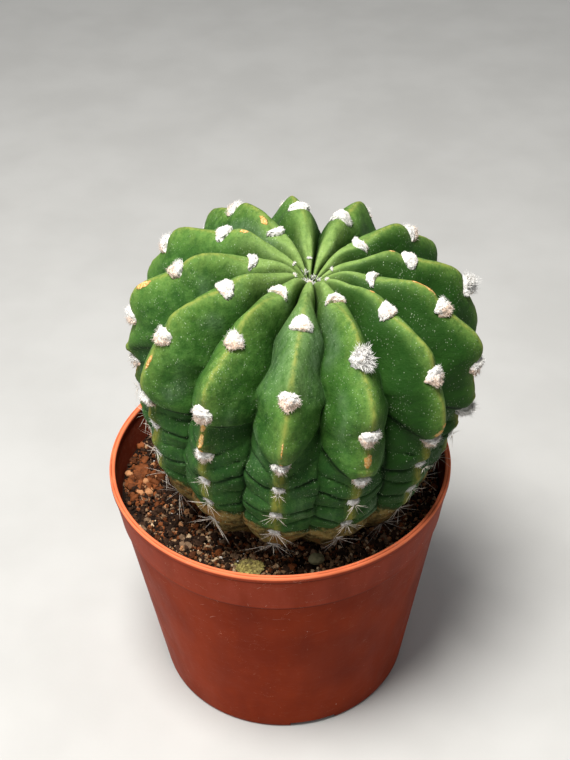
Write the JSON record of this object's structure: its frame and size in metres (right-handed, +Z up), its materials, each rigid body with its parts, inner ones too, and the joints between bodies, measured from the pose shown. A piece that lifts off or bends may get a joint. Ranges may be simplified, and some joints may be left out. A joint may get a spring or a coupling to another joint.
{
  "type": "potted domino cactus",
  "caption": "Ribbed green globe cactus with white woolly areoles, rooted in dark gritty soil in a tapered terracotta-brown plastic nursery pot.",
  "frame": {"origin": "centre of the whole object's bounding box in plan, on the plane that the pot stands on", "axes": "+Z up, +X to the viewer's right and -Y towards the viewer who faces the front rib"},
  "size_m": [0.1254, 0.1226, 0.1831],
  "materials": {
    "pot_plastic": "satin terracotta-brown polypropylene, lightly scratched",
    "potting_mix": "dark damp potting mix with red and tan grit",
    "cactus_skin": "waxy dark green plant skin, paler along the crests, with corky tan scars",
    "areole_wool": "felted white to cream plant wool",
    "pebble_stone": "dull green-grey",
    "red_grit": "dull rust red",
    "moss": "dry yellow-green moss"
  },
  "bodies": {
    "root": {"pot": "pot_plastic", "soil": "potting_mix", "cactus_stem": "cactus_skin", "areole_00_1": "areole_wool", "areole_00_2": "areole_wool", "areole_00_3": "areole_wool", "areole_00_4": "areole_wool", "areole_01_1": "areole_wool", "areole_01_2": "areole_wool", "areole_01_3": "areole_wool", "areole_01_4": "areole_wool", "areole_02_1": "areole_wool", "areole_02_2": "areole_wool", "areole_02_3": "areole_wool", "areole_02_4": "areole_wool", "areole_03_1": "areole_wool", "areole_03_2": "areole_wool", "areole_03_3": "areole_wool", "areole_03_4": "areole_wool", "areole_04_1": "areole_wool", "areole_04_2": "areole_wool", "areole_04_3": "areole_wool", "areole_04_4": "areole_wool", "areole_05_1": "areole_wool", "areole_05_2": "areole_wool", "areole_05_3": "areole_wool", "areole_05_4": "areole_wool", "areole_06_1": "areole_wool", "areole_06_2": "areole_wool", "areole_06_3": "areole_wool", "areole_06_4": "areole_wool", "areole_07_1": "areole_wool", "areole_07_2": "areole_wool", "areole_07_3": "areole_wool", "areole_07_4": "areole_wool", "areole_08_1": "areole_wool", "areole_08_2": "areole_wool", "areole_08_3": "areole_wool", "areole_08_4": "areole_wool", "areole_09_1": "areole_wool", "areole_09_2": "areole_wool", "areole_09_3": "areole_wool", "areole_09_4": "areole_wool", "areole_10_1": "areole_wool", "areole_10_2": "areole_wool", "areole_10_3": "areole_wool", "areole_10_4": "areole_wool", "areole_11_1": "areole_wool", "areole_11_2": "areole_wool", "areole_11_3": "areole_wool", "areole_11_4": "areole_wool", "areole_12_1": "areole_wool", "areole_12_2": "areole_wool", "areole_12_3": "areole_wool", "areole_12_4": "areole_wool", "pebble_green": "pebble_stone", "grit_lump_large": "red_grit", "grit_lump_small": "red_grit", "moss_patch": "moss"}
  },
  "joints": []
}
